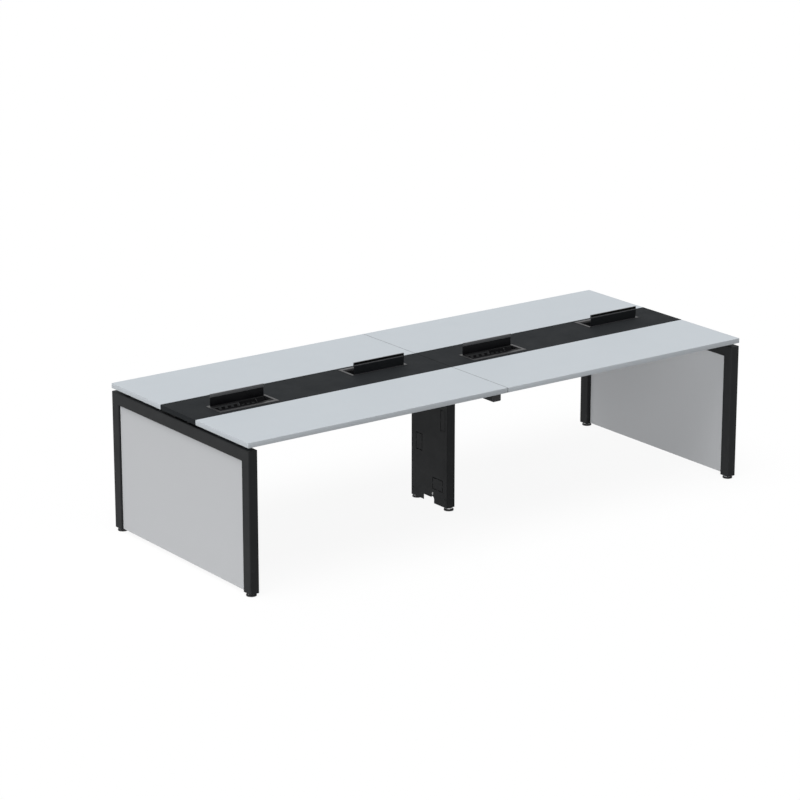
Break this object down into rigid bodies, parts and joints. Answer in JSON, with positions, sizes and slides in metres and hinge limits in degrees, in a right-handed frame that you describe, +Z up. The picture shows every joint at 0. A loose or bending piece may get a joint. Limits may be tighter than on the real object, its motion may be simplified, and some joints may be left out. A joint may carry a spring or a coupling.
{
  "type": "bench desk",
  "caption": "Long office bench desk for users on both sides, with pale worktops, a black cable spine with hinged access flaps, closed end frames and a central cable riser.",
  "frame": {"origin": "on the floor under the middle of the desk", "axes": "+X along the desk, to the right for the users at the front; +Y from the front users to the rear users; +Z up"},
  "size_m": [3, 1.2, 0.8126],
  "materials": {
    "worktop_laminate": "satin pale grey laminate on board",
    "edge_band": "satin pale grey edge band",
    "spine_laminate": "matt black laminate on board",
    "panel_laminate": "satin pale grey laminate on board",
    "black_frame": "fine black powder coat",
    "black_plastic": "matt black moulded plastic",
    "steel_fastener": "zinc plated",
    "flap_metal": "dark anodised",
    "brush": "matt black",
    "socket_plastic": "satin dark plastic"
  },
  "bodies": {
    "desk": {"worktop_front_left": "worktop_laminate", "worktop_front_right": "worktop_laminate", "worktop_rear_left": "worktop_laminate", "worktop_rear_right": "worktop_laminate", "edge_bands": "edge_band", "spine_panel_left": "spine_laminate", "spine_panel_right": "spine_laminate", "top_screws": "steel_fastener", "panel_pins": "steel_fastener", "beam_bolts": "steel_fastener", "pan_head_screws": "steel_fastener", "standoffs": "black_frame", "leg_front_left": "black_frame", "leg_front_right": "black_frame", "leg_rear_left": "black_frame", "leg_rear_right": "black_frame", "top_rail_left": "black_frame", "top_rail_right": "black_frame", "centre_post_front": "black_frame", "centre_post_rear": "black_frame", "riser_panel_left": "black_frame", "riser_panel_right": "black_frame", "centre_cross_beam": "black_frame", "beam_front_left": "black_frame", "beam_front_right": "black_frame", "beam_rear_left": "black_frame", "beam_rear_right": "black_frame", "beam_end_plates": "black_frame", "cable_tray_left": "black_frame", "cable_tray_right": "black_frame", "end_panel_left": "panel_laminate", "end_panel_right": "panel_laminate", "tube_plugs": "black_plastic", "flap_bezel_front_left": "flap_metal", "power_box_front_left": "black_frame", "socket_strip_front_left": "socket_plastic", "flap_bezel_rear_left": "flap_metal", "power_box_rear_left": "black_frame", "socket_strip_rear_left": "socket_plastic", "flap_bezel_front_right": "flap_metal", "power_box_front_right": "black_frame", "socket_strip_front_right": "socket_plastic", "flap_bezel_rear_right": "flap_metal", "power_box_rear_right": "black_frame", "socket_strip_rear_right": "socket_plastic"},
    "lid_front_left": {"flap_lid_front_left": "flap_metal", "lid_brush_front_left": "brush"},
    "lid_rear_left": {"flap_lid_rear_left": "flap_metal", "lid_brush_rear_left": "brush"},
    "lid_front_right": {"flap_lid_front_right": "flap_metal", "lid_brush_front_right": "brush"},
    "lid_rear_right": {"flap_lid_rear_right": "flap_metal", "lid_brush_rear_right": "brush"},
    "foot_front_left": {"foot_front_left": "black_plastic"},
    "foot_front_right": {"foot_front_right": "black_plastic"},
    "foot_rear_left": {"foot_rear_left": "black_plastic"},
    "foot_rear_right": {"foot_rear_right": "black_plastic"},
    "foot_centre_front": {"foot_centre_front": "black_plastic"},
    "foot_centre_rear": {"foot_centre_rear": "black_plastic"}
  },
  "joints": [
    {"name": "lid_hinge_front_left", "type": "hinge", "parent": "desk", "child": "lid_front_left", "pos_m": [-1.178, -0.02, 0.7485], "axis": [-1, 0, 0], "range_deg": [-93, 0]},
    {"name": "lid_hinge_rear_left", "type": "hinge", "parent": "desk", "child": "lid_rear_left", "pos_m": [-0.322, 0.02, 0.7485], "axis": [1, 0, 0], "range_deg": [-93, 0]},
    {"name": "lid_hinge_front_right", "type": "hinge", "parent": "desk", "child": "lid_front_right", "pos_m": [0.322, -0.02, 0.7485], "axis": [-1, 0, 0], "range_deg": [-93, 0]},
    {"name": "lid_hinge_rear_right", "type": "hinge", "parent": "desk", "child": "lid_rear_right", "pos_m": [1.178, 0.02, 0.7485], "axis": [1, 0, 0], "range_deg": [-93, 0]},
    {"name": "levelling_front_left", "type": "slide", "parent": "desk", "child": "foot_front_left", "axis": [0, 0, 1], "range_m": [-0.02, 0]},
    {"name": "levelling_front_right", "type": "slide", "parent": "desk", "child": "foot_front_right", "axis": [0, 0, 1], "range_m": [-0.02, 0]},
    {"name": "levelling_rear_left", "type": "slide", "parent": "desk", "child": "foot_rear_left", "axis": [0, 0, 1], "range_m": [-0.02, 0]},
    {"name": "levelling_rear_right", "type": "slide", "parent": "desk", "child": "foot_rear_right", "axis": [0, 0, 1], "range_m": [-0.02, 0]},
    {"name": "levelling_centre_front", "type": "slide", "parent": "desk", "child": "foot_centre_front", "axis": [0, 0, 1], "range_m": [-0.02, 0]},
    {"name": "levelling_centre_rear", "type": "slide", "parent": "desk", "child": "foot_centre_rear", "axis": [0, 0, 1], "range_m": [-0.02, 0]}
  ]
}
